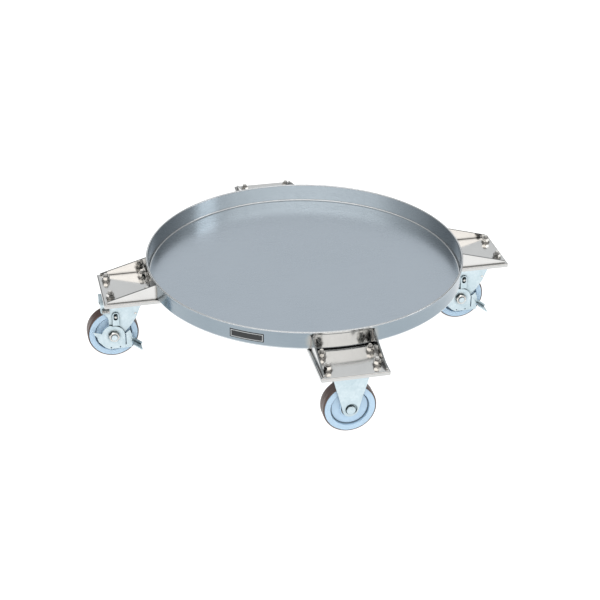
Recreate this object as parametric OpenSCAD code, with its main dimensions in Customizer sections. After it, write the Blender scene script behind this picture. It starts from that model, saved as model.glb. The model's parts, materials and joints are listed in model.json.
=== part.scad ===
// Drum dolly: a round sheet tray on four brackets, two rigid and two swivel casters.
// Origin: centre of the tray floor's top face. +Z up. The swivel casters lie along X.

/* [Tray] */
// Diameter over the folded rim
tray_d = 620; // [520:5:760]
// Height of the wall over the underside of the floor
wall_h = 38; // [28:1:60]
// Thickness of the tray sheet
sheet_t = 2; // [1:0.25:3]
// Outside radius of the bend between floor and wall
bend_r = 5; // [3.5:0.5:8]
// Height of the folded hem
hem_h = 6; // [4:0.5:10]
// Width of the blank label
label_w = 66; // [30:1:90]
// Height of the blank label
label_h = 17; // [8:1:20]
// Thickness of the blank label
label_t = 0.5; // [0.3:0.1:1]
// Direction of the label from the centre, in degrees
label_turn = -123; // [-140:1:-115]

/* [Brackets] */
// Distance from the rim to each caster's centre
caster_reach = 42; // [36:1:70]
// Length of the plate beyond the caster's centre
bracket_nose = 50; // [44:1:70]
// Length of the plate under the tray floor
bracket_lap = 80; // [50:5:120]
// Width of the plate
bracket_w = 127; // [116:1:150]
// Thickness of the plate sheet
bracket_t = 3; // [2:0.5:5]
// Depth of the turned-down lips
lip_h = 8; // [6:0.5:14]
// Outside radius of the plate's bends
lip_r = 3; // [2.5:0.25:5]
// Distance from the plate's side to each gusset
gusset_inset = 4.5; // [3:0.5:8]
// Thickness of the gussets
gusset_t = 3; // [1.5:0.5:4]
// Height of the gussets at their outer end
gusset_nose = 4; // [2:0.5:10]

/* [Fasteners] */
// Diameter of the caster bolts
bolt_d = 8; // [6:1:10]
// Play of a bolt in its hole, on the radius
hole_play = 0.5; // [0.3:0.1:1]
// Width across flats of the bolt heads and nuts
bolt_af = 13; // [10:1:17]
// Length of thread that stands past the nut
bolt_tail = 5; // [2:0.5:8]
// Hole spacing of the rigid casters along the wheel's path
rigid_pitch_x = 90; // [80:1:94]
// Hole spacing of the rigid casters across it
rigid_pitch_y = 46; // [40:1:60]
// Hole spacing of the swivel casters, both ways
swivel_pitch = 70; // [66:1:76]

/* [Wheels] */
// Diameter of the wheel over its tread
wheel_d = 100; // [80:1:130]
// Width of the wheel core
wheel_w = 28; // [24:1:34]
// Thickness of the tread
tread_t = 3; // [2:0.5:8]
// Width of the flat ring on the side of the core
rim_band = 11; // [7:0.5:13]
// Depth of the recess in the side of the core
dish_depth = 4.5; // [2:0.5:8]
// Diameter of the axles
axle_d = 12; // [8:1:14]
// Wall of the spacer tube round each axle
sleeve_wall = 2; // [1:0.25:3]
// Outside diameter of the wheel bearings
bearing_d = 32; // [28:1:36]
// Width of one wheel bearing
bearing_w = 9; // [6:0.5:11]

/* [Casters] */
// Height of the mounting face over the top of the wheel
head_room = 39; // [34:1:50]
// Thickness of the caster mounting plates
caster_plate_t = 4; // [3:0.5:6]
// Thickness of the fork sheet
fork_t = 3; // [2:0.25:4]
// Gap between wheel core and fork leg
wheel_gap = 3; // [2:0.25:5]
// Distance from the swivel axis back to the axle
trail = 31; // [22:1:38]
// Radius of the fork end round the axle
fork_end_r = 15; // [12:0.5:18]
// Half width of a rigid fork where it leaves its plate
rigid_fork_half = 38; // [30:1:42]
// Reach of a swivel fork ahead of the swivel axis
fork_lead = 26; // [22:1:34]
// Reach of a swivel fork behind the axle
fork_back = 23; // [18:1:28]
// Diameter of the balls in the swivel head
ball_d = 6; // [4:0.5:7]
// Radius of the ring of balls
ball_ring_r = 24; // [20:0.5:26]
// Number of balls
ball_count = 18; // [10:1:20]
// Diameter of the kingpin
kingpin_d = 12; // [10:1:16]

/* [Brake] */
// Thickness of the brake lever and lock slide
lever_t = 2.5; // [2:0.25:3]
// Length of the pedal beyond the lever plate
pedal_len = 22; // [15:1:30]
// Width of the pedal, outward from the lever
pedal_w = 18; // [10:1:26]
// Travel of the lock slide
lock_travel = 3; // [2:0.5:4]
// Gap between brake shoe and tread when released
shoe_gap = 1.5; // [1:0.25:3]
// Width of the lock slide
slide_w = 13; // [11:0.5:15]

/* [Fits] */
// Running clearance of a turning fit, on the radius
run_fit = 0.06; // [0.03:0.01:0.1]
// Gap between parts that move past each other
move_gap = 0.3; // [0.3:0.05:0.6]

/* [Hidden] */
$fn = 48;

tray_steel = [0.70, 0.74, 0.76];
bracket_steel = [0.86, 0.86, 0.82];
zinc = [0.78, 0.86, 0.90];
core_grey = [0.70, 0.79, 0.89];
urethane = [0.30, 0.23, 0.21];
bright_steel = [0.82, 0.82, 0.80];
ink = [0.08, 0.09, 0.10];

// Tray
wall_r = tray_d/2 - sheet_t;             // outer face of the wall under the hem
rim_z = wall_h - sheet_t;                // top of the rim over the floor
under_z = -sheet_t;                      // underside of the floor
floor_r = wall_r - bend_r;

// Brackets and their casters, from the tray's centre
station_r = tray_d/2 + caster_reach;
nose_r = station_r + bracket_nose;
lap_r = wall_r - bracket_lap;
gusset_y = bracket_w/2 - gusset_inset;   // outer face of a gusset
mount_z = under_z - bracket_t;           // face that the caster plates bolt to

// Wheels
wheel_r = wheel_d/2;
caster_h = wheel_d + head_room;          // mounting height
ground_z = mount_z - caster_h;
axle_z = ground_z + wheel_r;
core_r = wheel_r - tread_t;
dish_r = core_r - rim_band;
hub_r = bearing_d/2 + 3;
race_wall = 3;                           // wall of a bearing's outer race
hub_half = wheel_w/2 + 0.5;
axle_r = axle_d/2;
sleeve_r = axle_r + sleeve_wall;

// Forks
leg_in = wheel_w/2 + wheel_gap;          // inner face of a leg from the wheel's mid plane
leg_out = leg_in + fork_t;
axle_nut_af = axle_d * 1.55;
nut_h = axle_d * 0.52;
axle_tail = 2.5;                         // thread past the axle nut
axle_head_h = 4;
axle_head_r = axle_r + 2.5;
head_sink = 1;                           // seat of the rigid axle's head, cut into the leg

// Swivel head
plate_half = swivel_pitch/2 + 12;
plate_z = mount_z - caster_plate_t;      // underside of the mounting plate
race_h = 3;
race_w = 4;
head_play = 0.1;                         // play over and under the balls
crown_z = plate_z - 2*race_h - ball_d - 2*head_play;   // top of the fork crown
crown_r = ball_ring_r + race_w + 6;
skirt_r = ball_ring_r + race_w + 5;
leg_top = crown_z - fork_t;
skirt_z = crown_z + 1.5;                 // lower edge of the dust skirt
kingpin_r = kingpin_d/2;

// Brake
lever_in = leg_out + move_gap;
lever_out = lever_in + lever_t;
lever_bore = axle_r + 4;
cam_low = fork_end_r + 6;                // radius of the lever's top under the slide
cam_high = cam_low + lock_travel;
press_turn = 12;                         // turn of the lever from rest to locked
lever_drop = wheel_r*0.58;               // lower edge of the lever under the axle
lever_tail = wheel_r*0.8;
lever_slit = 2;
pedal_root_x = -1;
pedal_root_drop = 8;
pedal_reach = pedal_len + 4;
pedal_slope = 38;
pedal_t = 2;
slide_x = trail - 5;
// Where the cam's climb begins, from straight up: just past the slide's foot
cam_start = asin((slide_x - trail + slide_w/2)/cam_low) + 1;
slide_foot = axle_z + cam_low + 2*move_gap;
slide_h = (leg_top - slide_foot) * 0.6;
stud_r = 3;
stud_len = fork_t + lever_t + 2*move_gap;
stud_z = slide_foot + slide_h - 9;
shoe_r = wheel_r + shoe_gap;
shoe_t = 4;
shoe_half = wheel_w/2 - 4;
shoe_pin_r = 2.5;
shoe_pin_angle = 135;
shoe_pin_reach = wheel_r + 12;
spring_r = 3.4;
spring_wire = 1.4;
spring_turns = 6;
spring_len = 14;

// Fasteners
bolt_r = bolt_d/2;
hole_r = bolt_r + hole_play;
washer_t = 1.6;
spring_washer_t = 2;
bolt_nut_h = bolt_d * 0.8;
bolt_head_h = bolt_d * 0.66;
stack_h = washer_t + spring_washer_t + bolt_nut_h;
spring_washer_r = bolt_r + 2.6;
washer_split = 0.8;                      // gap in a spring washer
bolt_point = 1;                          // chamfer at the end of the thread

e = 0.01;                                // keeps cuts from ending on a face

// Frames: a station along +X, a rigid caster facing outward, a swivel caster with its trail to -X
module station(turn) rotate([0, 0, turn]) children();
module rigid_frame(turn) rotate([0, 0, turn]) translate([0, station_r, 0]) children();
module swivel_frame(side) translate([side * station_r, 0, 0]) rotate([0, 0, 180]) children();

// A flat outline in X and Z, thickened along +Y from y0
module upright(y0, t) translate([0, y0 + t, 0]) rotate([90, 0, 0]) linear_extrude(t) children();
// A turned outline, its axis laid along Y at the axle
module on_axle(x) translate([x, 0, axle_z]) rotate([-90, 0, 0]) children();
module ring(r_in, r_out, h) {
  difference() {
    cylinder(r = r_out, h = h);
    translate([0, 0, -e]) cylinder(r = r_in, h = h + 2*e);
  }
}
// Points on an arc from angle a0 to a1
function arc(x, y, r, a0, a1, n) = [
  for (i = [0 : n]) let (a = a0 + (a1 - a0)*i/n) [x + r*cos(a), y + r*sin(a)]
];
module hex_prism(af, h) cylinder(d = af / cos(30), h = h, $fn = 6);
module rounded_plate(x, y, r, h) {
  cube_at(-x, -y + r, 0, 2*x, 2*y - 2*r, h);
  cube_at(-x + r, -y, 0, 2*x - 2*r, 2*y, h);
  for (sx = [-1, 1], sy = [-1, 1]) translate([sx*(x - r), sy*(y - r), 0]) cylinder(r = r, h = h);
}
module cube_at(x, y, z, sx, sy, sz) translate([x, y, z]) cube([sx, sy, sz]);
module chamfered_hex(af, h) {
  intersection() {
    hex_prism(af, h);
    cylinder(r1 = af/2 + h*1.2, r2 = af/2 + 0.2, h = h);
  }
}

// Tray
module tray_floor() {
  color(tray_steel) translate([0, 0, under_z]) cylinder(r = floor_r, h = sheet_t, $fn = 144);
}

module tray_wall() {
  color(tray_steel) rotate_extrude($fn = 144) polygon(concat(
    arc(floor_r, under_z + bend_r, bend_r, -90, 0, 8),
    [[wall_r, rim_z - hem_h], [wall_r + sheet_t, rim_z - hem_h]],
    arc(wall_r, rim_z - sheet_t, sheet_t, 0, 180, 12),
    arc(floor_r, under_z + bend_r, bend_r - sheet_t, 0, -90, 6)
  ));
}

module label_plate() {
  sweep = label_w / wall_r * 180 / PI;
  label_z = under_z + bend_r + (rim_z - hem_h - under_z - bend_r) / 2;
  color(ink) rotate([0, 0, label_turn - sweep/2]) rotate_extrude(angle = sweep, $fn = 144)
    translate([wall_r, label_z - label_h/2]) square([label_t, label_h]);
}

// Brackets: a pan with lips on three sides, and two gussets that run up to the hem
module bracket_plate(turn, pitch_r, pitch_t) {
  color(bracket_steel) station(turn) difference() {
    pan_outside();
    cube_at(lap_r - 1, -bracket_w/2 + bracket_t, under_z - lip_h - 1,
            nose_r - lap_r - bracket_t + 1, bracket_w - 2*bracket_t, lip_h - bracket_t + 1);
    at_holes(pitch_r, pitch_t) translate([0, 0, mount_z - 1]) cylinder(r = hole_r, h = bracket_t + 2);
  }
}
module pan_outside() {
  x1 = nose_r - lip_r;
  y1 = bracket_w/2 - lip_r;
  low = under_z - lip_h;
  top = under_z - lip_r;
  cube_at(lap_r, -y1, low, x1 - lap_r, 2*y1, lip_h);
  cube_at(lap_r, -bracket_w/2, low, x1 - lap_r, bracket_w, lip_h - lip_r);
  cube_at(x1 - e, -y1, low, lip_r + e, 2*y1, lip_h - lip_r);
  translate([x1, -y1, top]) rotate([-90, 0, 0]) cylinder(r = lip_r, h = 2*y1);
  for (s = [-1, 1]) {
    translate([lap_r, s*y1, top]) rotate([0, 90, 0]) cylinder(r = lip_r, h = x1 - lap_r);
    translate([x1, s*y1, low]) cylinder(r = lip_r, h = lip_h - lip_r);
    translate([x1, s*y1, top]) sphere(r = lip_r);
  }
}
// The four holes of a caster, along the station's radius and across it
module at_holes(pitch_r, pitch_t) {
  for (sr = [-1, 1], st = [-1, 1])
    translate([station_r + sr*pitch_r/2, st*pitch_t/2, 0]) children();
}
module gussets(turn) {
  color(bracket_steel) station(turn) difference() {
    for (y0 = [gusset_y - gusset_t, -gusset_y]) upright(y0, gusset_t)
      polygon([[floor_r - 20, under_z], [nose_r - lip_r - 3, under_z],
               [nose_r - lip_r - 3, under_z + gusset_nose], [floor_r - 20, rim_z - hem_h + 4]]);
    translate([0, 0, under_z - 1]) cylinder(r = wall_r, h = wall_h + 2, $fn = 144);
    translate([0, 0, rim_z - hem_h]) cylinder(r = wall_r + sheet_t, h = wall_h, $fn = 144);
  }
}

// Fasteners: every hole of every caster
module at_all_holes() {
  for (turn = [-90, 90]) station(turn) at_holes(rigid_pitch_y, rigid_pitch_x) children();
  for (turn = [0, 180]) station(turn) at_holes(swivel_pitch, swivel_pitch) children();
}
module caster_bolts() {
  tip_z = under_z + stack_h + bolt_tail;
  color(bright_steel) at_all_holes() {
    translate([0, 0, plate_z - bolt_head_h]) hex_prism(bolt_af, bolt_head_h);
    translate([0, 0, plate_z - e]) cylinder(r = bolt_r, h = tip_z - bolt_point - plate_z + 2*e);
    translate([0, 0, tip_z - bolt_point]) cylinder(r1 = bolt_r, r2 = bolt_r - bolt_point, h = bolt_point);
  }
}
module flat_washers() {
  color(bright_steel) at_all_holes() translate([0, 0, under_z]) ring(bolt_r, bolt_d, washer_t);
}
module spring_washers() {
  color(bright_steel) at_all_holes() translate([0, 0, under_z + washer_t]) difference() {
    ring(bolt_r, spring_washer_r, spring_washer_t);
    rotate([0, 0, 35])
      cube_at(0, -washer_split/2, -1, spring_washer_r + 1, washer_split, spring_washer_t + 2);
  }
}
module caster_nuts() {
  color(bright_steel) at_all_holes() translate([0, 0, under_z + washer_t + spring_washer_t])
    difference() {
      chamfered_hex(bolt_af, bolt_nut_h);
      translate([0, 0, -1]) cylinder(r = bolt_r, h = bolt_nut_h + 2);
    }
}

// Wheels: x is the axle's place along the caster's own X
module wheel_tread(x) {
  half = wheel_w/2 - 1;
  color(urethane) on_axle(x) rotate_extrude($fn = 96) difference() {
    union() {
      translate([core_r, -half + tread_t/2]) square([tread_t, 2*half - tread_t]);
      translate([core_r, -half]) square([tread_t/2, 2*half]);
      for (s = [-1, 1]) translate([core_r + tread_t/2, s*(half - tread_t/2)]) circle(r = tread_t/2);
    }
    translate([core_r - tread_t, -wheel_w]) square([tread_t, 2*wheel_w]);
  }
}
module wheel_core(x) {
  web = wheel_w/2 - dish_depth;
  bore = bearing_d/2;
  color(core_grey) on_axle(x) difference() {
    rotate_extrude($fn = 96) {
      translate([dish_r, -wheel_w/2]) square([core_r - dish_r, wheel_w]);
      translate([hub_r - 1, -web]) square([dish_r - hub_r + 2, 2*web]);
      translate([bore - race_wall, -hub_half]) square([hub_r - bore + race_wall, 2*hub_half]);
    }
    translate([0, 0, -hub_half - 1]) cylinder(r = bore - race_wall, h = 2*hub_half + 2);
    for (s = [-1, 1]) translate([0, 0, s*(hub_half - bearing_w/2)])
      cylinder(r = bore, h = bearing_w + 2*e, center = true);
  }
}
module wheel_bearings(x) {
  color(bright_steel) on_axle(x) for (s = [-1, 1]) translate([0, 0, s*(hub_half - bearing_w/2)])
    difference() {
      cylinder(r = bearing_d/2, h = bearing_w, center = true);
      cylinder(r = sleeve_r + run_fit, h = bearing_w + 2, center = true);
      translate([0, 0, s*bearing_w/2]) difference() {
        cylinder(r = bearing_d/2 - race_wall, h = 1, center = true);
        cylinder(r = sleeve_r + race_wall - 0.5, h = 2, center = true);
      }
    }
}
module axle_sleeve(x) {
  color(zinc) on_axle(x) translate([0, 0, -leg_in]) ring(axle_r, sleeve_r, 2*leg_in);
}

// Rigid caster
module rigid_fork() {
  color(zinc) {
    difference() {
      translate([0, 0, plate_z])
        rounded_plate(rigid_pitch_x/2 + 12, rigid_pitch_y/2 + 11, 6, caster_plate_t);
      for (sx = [-1, 1], sy = [-1, 1])
        translate([sx*rigid_pitch_x/2, sy*rigid_pitch_y/2, plate_z - 1])
          cylinder(r = hole_r, h = caster_plate_t + 2);
    }
    difference() {
      for (y0 = [leg_in, -leg_out]) upright(y0, fork_t) rigid_leg_outline();
      on_axle(0) cylinder(r = axle_r, h = 4*leg_out, center = true);
      on_axle(0) translate([0, 0, leg_out - head_sink]) cylinder(r = axle_head_r + 2.5, h = head_sink + 2);
    }
  }
}
module rigid_leg_outline() {
  drop = plate_z - axle_z;
  edge = [
    [fork_end_r*0.97, axle_z - 3], [rigid_fork_half*0.62, axle_z + drop*0.36],
    [rigid_fork_half*0.76, axle_z + drop*0.58], [rigid_fork_half, plate_z + e]
  ];
  translate([0, axle_z]) circle(r = fork_end_r);
  for (s = [0, 1]) mirror([s, 0]) polygon(concat([[-1, axle_z - 3]], edge, [[-1, plate_z + e]]));
}
module rigid_axle() {
  color(zinc) on_axle(0) {
    translate([0, 0, -leg_out - nut_h - axle_tail])
      cylinder(r = axle_r, h = 2*leg_out + nut_h + axle_tail - head_sink + e);
    translate([0, 0, leg_out - head_sink]) {
      cylinder(r = axle_head_r, h = axle_head_h);
      translate([0, 0, axle_head_h - e]) cylinder(r1 = axle_head_r, r2 = axle_head_r - 1.5, h = 1);
    }
  }
}
module rigid_axle_nut() {
  color(bright_steel) on_axle(0) translate([0, 0, -leg_out]) mirror([0, 0, 1]) difference() {
    chamfered_hex(axle_nut_af, nut_h);
    translate([0, 0, -1]) cylinder(r = axle_r, h = nut_h + 2);
  }
}

// Swivel caster: its own X runs from the swivel axis back along the trail, and +Y is the pedal's side
module swivel_plate() {
  color(zinc) difference() {
    union() {
      translate([0, 0, plate_z]) rounded_plate(plate_half, plate_half, 9, caster_plate_t);
      translate([0, 0, plate_z - race_h]) ring(ball_ring_r - race_w, ball_ring_r + race_w, race_h + e);
      translate([0, 0, skirt_z]) ring(skirt_r - 2, skirt_r, plate_z - skirt_z + e);
    }
    for (sx = [-1, 1], sy = [-1, 1])
      translate([sx*swivel_pitch/2, sy*swivel_pitch/2, plate_z - 1])
        cylinder(r = hole_r, h = caster_plate_t + 2);
    translate([0, 0, plate_z - 1]) cylinder(r = kingpin_r, h = caster_plate_t + 2);
  }
}
module kingpin() {
  head_z = leg_top - head_play;
  color(bright_steel) {
    translate([0, 0, head_z - 3.5]) cylinder(r = kingpin_r + 6, h = 3.5);
    translate([0, 0, head_z - e]) cylinder(r = kingpin_r, h = mount_z - head_z + e);
    translate([0, 0, crown_z + race_h]) cylinder(r = kingpin_r + 3, h = plate_z - crown_z - race_h);
  }
}
module swivel_balls() {
  color(bright_steel) for (i = [0 : ball_count - 1]) rotate([0, 0, i*360/ball_count])
    translate([ball_ring_r, 0, crown_z + race_h + head_play + ball_d/2]) sphere(d = ball_d, $fn = 32);
}
module swivel_fork() {
  color(zinc) {
    difference() {
      union() {
        translate([0, 0, leg_top]) cylinder(r = crown_r, h = fork_t);
        cube_at(-fork_lead, -leg_out, leg_top, fork_lead + trail + fork_back, 2*leg_out, fork_t);
        translate([0, 0, crown_z - e]) ring(ball_ring_r - race_w, ball_ring_r + race_w, race_h + e);
      }
      translate([0, 0, leg_top - 1]) cylinder(r = kingpin_r + run_fit, h = fork_t + 2);
    }
    difference() {
      for (y0 = [leg_in, -leg_out]) upright(y0, fork_t) swivel_leg_outline();
      on_axle(trail) cylinder(r = axle_r, h = 4*leg_out, center = true);
      translate([slide_x, 0, stud_z]) rotate([90, 0, 0]) cylinder(r = stud_r, h = 4*leg_out, center = true);
      at_shoe_pin() cylinder(r = shoe_pin_r, h = 4*leg_out, center = true);
    }
  }
}
module swivel_leg_outline() {
  drop = leg_top - axle_z;
  back = trail + fork_back;
  translate([trail, axle_z]) circle(r = fork_end_r);
  polygon([
    [-fork_lead, leg_top + e], [-fork_lead*0.76, axle_z + drop*0.71], [-fork_lead*0.55, axle_z + drop*0.5],
    [-fork_lead*0.1, axle_z + drop*0.25], [trail - fork_end_r*0.9, axle_z - fork_end_r*0.42],
    [trail + fork_end_r*0.95, axle_z - fork_end_r*0.3], [trail + fork_end_r*0.6, axle_z + drop*0.34],
    [trail + fork_end_r*0.6, axle_z + drop*0.5], [back - 8, axle_z + drop*0.66], [back, axle_z + drop*0.74],
    [back, leg_top + e]
  ]);
}
module swivel_axle() {
  color(zinc) on_axle(trail) {
    translate([0, 0, -leg_out - nut_h]) hex_prism(axle_nut_af, nut_h);
    translate([0, 0, -leg_out - e])
      cylinder(r = axle_r, h = leg_out + lever_out + move_gap + nut_h + axle_tail);
  }
}
module swivel_axle_nut() {
  shoulder = lever_t + 2*move_gap;
  color(bright_steel) on_axle(trail) translate([0, 0, leg_out]) difference() {
    union() {
      cylinder(r = lever_bore - run_fit, h = shoulder + e);
      translate([0, 0, shoulder]) chamfered_hex(axle_nut_af, nut_h);
    }
    translate([0, 0, -1]) cylinder(r = axle_r, h = shoulder + nut_h + 2);
  }
}

// Brake: a lever that turns on the axle, a slide that its cam lifts, a shoe over the wheel
module brake_lever() {
  color(zinc) {
    difference() {
      upright(lever_in, lever_t) lever_outline();
      on_axle(trail) cylinder(r = lever_bore, h = 4*lever_out, center = true);
    }
    pedal();
  }
}
module lever_outline() {
  low = axle_z - lever_drop;
  difference() {
    union() {
      translate([trail, axle_z]) polygon(concat([[0, 0]], cam_points()));
      polygon([
        [trail - cam_low, axle_z + 2], [0, axle_z + 10], [-4, axle_z - 2], [-3, low], [trail + 10, low],
        [trail + 17, low + 4], [trail + 22, low + 9], [trail + 27, low + 15], [trail + 30, low + 18],
        [trail + 33, axle_z + 1], [trail + 37, axle_z + 5], [trail + lever_tail, axle_z + 12],
        [trail + 27, axle_z + 8], [trail + 22, axle_z + 6], [trail + 8, axle_z + 12]
      ]);
    }
    translate([trail - 23.5, low + 7]) square([lever_slit, wheel_r*0.48]);
    for (x = [trail - 11, trail + 7]) translate([x, low + 3]) circle(r = 1.4, $fn = 24);
  }
}
// The cam under the slide: low on the pedal's side, then it climbs by the lock's travel
function cam_points() = concat(
  arc(0, 0, cam_low, 180, 90 - cam_start, 20),
  [for (i = [1 : 6]) let (a = cam_start + press_turn*i/6) (cam_low + lock_travel*i/6) * [sin(a), cos(a)]],
  arc(0, 0, cam_high, 90 - cam_start - press_turn, 10, 12)
);
module pedal() {
  translate([pedal_root_x, lever_in, axle_z - pedal_root_drop]) rotate([0, -pedal_slope, 0]) {
    cube_at(-pedal_reach, 0, -4, pedal_reach + 4, lever_t, 7);
    cube_at(-pedal_reach, lever_t - e, -4, pedal_len - 2, pedal_w + e, pedal_t);
    translate([-pedal_reach, lever_t - e, -3]) rotate([-90, 0, 0])
      cylinder(r = 0.8*pedal_t, h = pedal_w + e);
  }
}
module lock_slide() {
  shoulder_z = slide_foot + slide_h - slide_w/2;
  color(zinc) translate([slide_x, 0, 0]) difference() {
    upright(lever_in, lever_t) {
      translate([-slide_w/2, slide_foot]) square([slide_w, shoulder_z - slide_foot]);
      translate([0, shoulder_z]) circle(d = slide_w);
    }
    slide_slot();
  }
}
module slide_slot() {
  reach = lock_travel + 1;
  translate([0, 0, stud_z]) {
    for (dz = [-reach, 1]) translate([0, 0, dz]) rotate([-90, 0, 0])
      cylinder(r = stud_r + move_gap, h = 2*lever_out);
    cube_at(-stud_r - move_gap, 0, -reach, 2*(stud_r + move_gap), 2*lever_out, reach + 1);
  }
}
module lock_spring() {
  n = spring_turns * 12;
  x0 = trail + 6;
  z0 = axle_z + (leg_top - axle_z)*0.8;
  y0 = leg_out + spring_r + spring_wire/2 + e;
  step = spring_len / n;
  color(bright_steel) polyhedron(
    points = [for (i = [0 : n]) let (a = i*30, cx = x0 + i*step)
      for (k = [0 : 7]) let (b = k*45, rr = spring_r + spring_wire/2*cos(b))
        [cx + spring_wire/2*sin(b), y0 + rr*cos(a), z0 + rr*sin(a)]],
    faces = concat(
      [[for (k = [0 : 7]) k]],
      [for (i = [0 : n - 1], k = [0 : 7]) each [
        [i*8 + k, (i + 1)*8 + k, i*8 + (k + 1)%8],
        [i*8 + (k + 1)%8, (i + 1)*8 + k, (i + 1)*8 + (k + 1)%8]]],
      [[for (k = [7 : -1 : 0]) n*8 + k]]));
}
module at_shoe_pin() {
  on_axle(trail)
    translate([shoe_pin_reach*cos(shoe_pin_angle), -shoe_pin_reach*sin(shoe_pin_angle), 0]) children();
}
module brake_shoe() {
  a = shoe_pin_angle;
  back_r = shoe_r + shoe_t;
  color(urethane) difference() {
    upright(-shoe_half, 2*shoe_half) translate([trail, axle_z]) {
      polygon(concat(arc(0, 0, shoe_r, a + 4, a - 24, 12), arc(0, 0, back_r, a - 24, a + 4, 12)));
      rotate(a) translate([shoe_r + shoe_t/2, -3]) square([shoe_pin_reach - shoe_r - shoe_t/2, 6]);
      translate(shoe_pin_reach*[cos(a), sin(a)]) circle(r = shoe_pin_r + 3);
    }
    at_shoe_pin() cylinder(r = shoe_pin_r + run_fit, h = 4*leg_out, center = true);
  }
}
module fork_pins() {
  color(bright_steel) {
    at_shoe_pin() cylinder(r = shoe_pin_r, h = 2*leg_out, center = true);
    translate([slide_x, leg_in, stud_z]) rotate([-90, 0, 0]) {
      cylinder(r = stud_r, h = stud_len);
      translate([0, 0, stud_len - e]) cylinder(r1 = stud_r + 2, r2 = stud_r + 1, h = 1.5);
    }
  }
}

tray_floor();
tray_wall();
label_plate();
bracket_plate(-90, rigid_pitch_y, rigid_pitch_x);  // front_bracket_plate
bracket_plate(90, rigid_pitch_y, rigid_pitch_x);  // back_bracket_plate
bracket_plate(180, swivel_pitch, swivel_pitch);  // left_bracket_plate
bracket_plate(0, swivel_pitch, swivel_pitch);  // right_bracket_plate
gussets(-90);  // front_gussets
gussets(90);  // back_gussets
gussets(180);  // left_gussets
gussets(0);  // right_gussets
caster_bolts();
flat_washers();
spring_washers();
caster_nuts();

for (c = [["front", 180], ["back", 0]]) rigid_frame(c[1]) {
  rigid_fork();
  rigid_axle();
  rigid_axle_nut();
  axle_sleeve(0);
  wheel_core(0);
  wheel_tread(0);
  wheel_bearings(0);
}
for (c = [["left", -1], ["right", 1]]) swivel_frame(c[1]) {
  swivel_plate();
  kingpin();
  swivel_balls();
  swivel_fork();
  swivel_axle();
  swivel_axle_nut();
  axle_sleeve(trail);
  wheel_core(trail);
  wheel_tread(trail);
  wheel_bearings(trail);
  brake_lever();
  lock_slide();
  lock_spring();
  brake_shoe();
  fork_pins();
}
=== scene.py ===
import json
import math

import bpy
from mathutils import Matrix, Vector

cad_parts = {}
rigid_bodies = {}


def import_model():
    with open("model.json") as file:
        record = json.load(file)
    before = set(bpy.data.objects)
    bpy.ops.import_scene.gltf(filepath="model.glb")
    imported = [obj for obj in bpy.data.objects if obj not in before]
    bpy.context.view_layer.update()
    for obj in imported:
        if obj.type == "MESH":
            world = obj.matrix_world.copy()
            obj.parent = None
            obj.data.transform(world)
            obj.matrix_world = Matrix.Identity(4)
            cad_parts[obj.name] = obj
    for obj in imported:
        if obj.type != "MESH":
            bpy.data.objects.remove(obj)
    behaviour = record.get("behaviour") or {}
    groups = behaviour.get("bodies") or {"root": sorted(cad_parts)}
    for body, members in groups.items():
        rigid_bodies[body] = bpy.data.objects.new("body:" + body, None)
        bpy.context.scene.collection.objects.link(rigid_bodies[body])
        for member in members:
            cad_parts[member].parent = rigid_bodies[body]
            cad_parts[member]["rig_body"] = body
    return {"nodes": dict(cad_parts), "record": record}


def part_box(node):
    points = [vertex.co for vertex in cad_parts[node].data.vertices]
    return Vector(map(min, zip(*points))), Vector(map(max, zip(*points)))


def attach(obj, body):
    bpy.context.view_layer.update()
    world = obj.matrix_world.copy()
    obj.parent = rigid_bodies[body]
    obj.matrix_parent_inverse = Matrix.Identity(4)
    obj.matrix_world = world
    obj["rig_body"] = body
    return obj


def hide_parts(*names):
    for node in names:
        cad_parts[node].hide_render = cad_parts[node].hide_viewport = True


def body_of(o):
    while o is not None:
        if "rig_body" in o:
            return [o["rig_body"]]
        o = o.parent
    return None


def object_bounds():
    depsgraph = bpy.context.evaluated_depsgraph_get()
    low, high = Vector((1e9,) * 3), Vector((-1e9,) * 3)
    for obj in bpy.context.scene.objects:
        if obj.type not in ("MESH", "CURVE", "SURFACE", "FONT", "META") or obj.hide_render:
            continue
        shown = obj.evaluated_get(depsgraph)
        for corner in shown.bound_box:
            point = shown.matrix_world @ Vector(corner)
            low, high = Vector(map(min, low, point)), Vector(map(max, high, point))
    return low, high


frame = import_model()

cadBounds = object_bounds()
nodes = frame["nodes"]
slotOf = {part["node"]: part["material_slot"] for part in frame["record"]["subparts"]}
print("frame loaded:", len(nodes), "nodes")


# Shader maths: a wire is one output of a node, and sums on wires add Math nodes
class Wire:
    def __init__(self, tree, socket):
        self.tree = tree
        self.socket = socket

    def node(self, kind, settings=None, inputs=None, output=0):
        made = self.tree.nodes.new(kind)
        for name, value in (settings or {}).items():
            if name == "stops":
                setStops(made.color_ramp, value)
            else:
                setattr(made, name, value)
        for name, value in (inputs or {}).items():
            if isinstance(value, Wire):
                self.tree.links.new(value.socket, made.inputs[name])
            else:
                made.inputs[name].default_value = value
        return Wire(self.tree, made.outputs[output])

    def maths(self, operation, first, second=0.0):
        return self.node("ShaderNodeMath", {"operation": operation}, {0: first, 1: second})

    def __add__(self, other):
        return self.maths("ADD", self, other)

    def __radd__(self, other):
        return self.maths("ADD", other, self)

    def __sub__(self, other):
        return self.maths("SUBTRACT", self, other)

    def __rsub__(self, other):
        return self.maths("SUBTRACT", other, self)

    def __mul__(self, other):
        return self.maths("MULTIPLY", self, other)

    def __rmul__(self, other):
        return self.maths("MULTIPLY", other, self)

    def __truediv__(self, other):
        return self.maths("DIVIDE", self, other)

    def __pow__(self, other):
        return self.maths("POWER", self, other)

    def ramp(self, *stops):
        return self.node("ShaderNodeValToRGB", {"stops": stops}, {"Fac": self})

    def into(self, shader, name):
        self.tree.links.new(self.socket, shader.inputs[name])


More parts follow.
